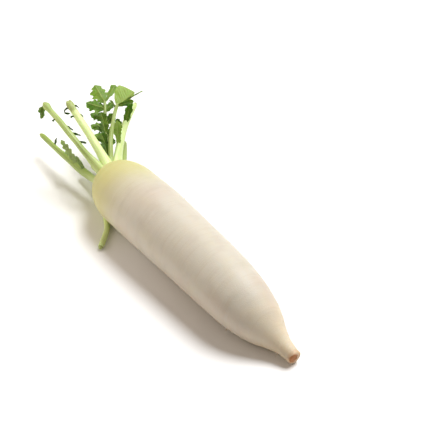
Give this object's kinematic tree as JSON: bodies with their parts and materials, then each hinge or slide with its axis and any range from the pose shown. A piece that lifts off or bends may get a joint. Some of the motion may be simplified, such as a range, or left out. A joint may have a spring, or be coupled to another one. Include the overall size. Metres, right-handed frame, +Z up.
{
  "type": "daikon radish",
  "caption": "White tapering taproot with a pale green crown, trimmed leaf stalks and one small leafy frond, lying on its side as picked.",
  "frame": {"origin": "on the small flat that the root rests on, below its thickest part, 132 mm from the crown", "axes": "+X along the root towards the tail tip, -X towards the crown and leaves, +Z up from the surface, +Y to the left when looking along +X"},
  "size_m": [0.4411, 0.1469, 0.0864],
  "materials": {
    "root_skin": "satin",
    "leaf_stalk": "satin",
    "leaf_blade": "matte"
  },
  "bodies": {
    "root": {"daikon_root": "root_skin", "leaf_stripped_pale": "leaf_stalk", "leaf_broad": "leaf_stalk", "leaf_behind_broad": "leaf_stalk", "leaf_under_right": "leaf_stalk", "leaf_under": "leaf_stalk", "leaf_long_low": "leaf_stalk", "leaf_long_knuckled": "leaf_stalk", "leaf_thin_with_fan": "leaf_stalk", "leaf_green": "leaf_blade", "leaf_drooping": "leaf_stalk"}
  },
  "joints": []
}
